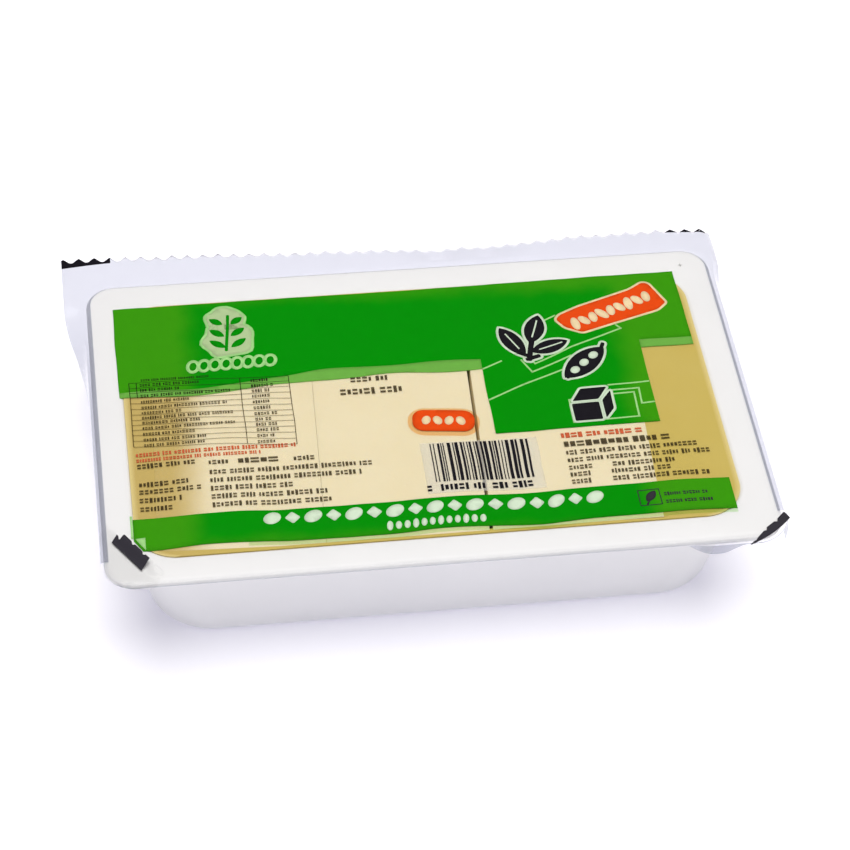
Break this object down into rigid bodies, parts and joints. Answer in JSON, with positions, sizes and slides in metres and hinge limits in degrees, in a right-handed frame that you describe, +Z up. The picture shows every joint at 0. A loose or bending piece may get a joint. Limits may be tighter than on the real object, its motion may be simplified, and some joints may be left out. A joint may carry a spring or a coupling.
{
  "type": "tofu pack",
  "caption": "Sealed white plastic tray of bean curd blocks in whey, under a clear printed lidding film with a zigzag-cut edge that overhangs the flange.",
  "frame": {"origin": "centre of the tray's flat base", "axes": "+X along the pack's length, +Y towards the film's zigzag-cut back edge, +Z up through the film"},
  "size_m": [0.2113, 0.1378, 0.0416],
  "materials": {
    "tray": "satin",
    "film": "clear gloss",
    "whey": "cloudy liquid",
    "tofu": "moist",
    "print_green": "ink",
    "print_light_green": "ink",
    "print_black": "ink",
    "print_red": "ink",
    "print_white": "ink"
  },
  "bodies": {
    "root": {"tray": "tray", "film": "film", "whey": "whey", "tofu_left": "tofu", "tofu_middle": "tofu", "tofu_right": "tofu"}
  },
  "joints": []
}
